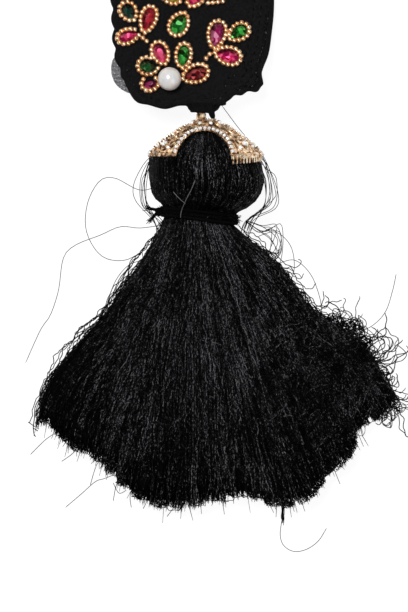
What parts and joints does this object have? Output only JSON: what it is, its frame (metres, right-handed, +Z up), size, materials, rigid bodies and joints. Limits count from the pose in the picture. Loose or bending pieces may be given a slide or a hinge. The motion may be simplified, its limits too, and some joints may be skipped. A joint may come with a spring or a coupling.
{
  "type": "braid tassel",
  "caption": "Black silk tassel tied at the neck, under a gold dome cap with stone-set arches and a padded black panel sewn with coloured stones and a pearl, lying on its back.",
  "frame": {"origin": "on the surface that the tassel lies on, under the middle of its bounding box", "axes": "+X across the tassel to the right as seen from above, +Y from the fringe up to the panel, +Z up from the surface"},
  "size_m": [0.1536, 0.2596, 0.0477],
  "materials": {
    "black_cloth": "matt black cloth",
    "net": "grey net",
    "black_silk": "black silk thread with a soft sheen",
    "gold": "gold plated, polished",
    "crystal": "foiled clear stone",
    "pearl": "pearl lustre",
    "teal_stone": "foiled teal stone",
    "red_stone": "foiled red stone",
    "rose_stone": "foiled rose stone",
    "green_stone": "foiled green stone",
    "deep_green_stone": "foiled deep green stone",
    "olive_stone": "foiled olive stone",
    "magenta_stone": "foiled magenta stone",
    "purple_stone": "foiled purple stone",
    "garnet_stone": "foiled garnet stone"
  },
  "bodies": {
    "root": {"panel": "black_cloth", "net_backing": "net", "hair_loop": "black_cloth", "gathered_neck": "black_cloth", "cap": "gold", "crown_stones": "crystal", "silk_tassel": "black_silk", "neck_tie": "black_cloth", "pearl": "pearl", "arch_stones_1": "crystal", "leg_stones_1": "crystal", "arch_stones_2": "crystal", "leg_stones_2": "crystal", "arch_stones_3": "crystal", "leg_stones_3": "crystal", "stone_01": "teal_stone", "stone_02": "red_stone", "stone_03": "rose_stone", "stone_04": "green_stone", "stone_05": "rose_stone", "stone_06": "olive_stone", "stone_07": "magenta_stone", "stone_08": "green_stone", "stone_09": "rose_stone", "stone_10": "rose_stone", "stone_11": "green_stone", "stone_12": "deep_green_stone", "stone_13": "purple_stone", "stone_14": "garnet_stone"}
  },
  "joints": []
}
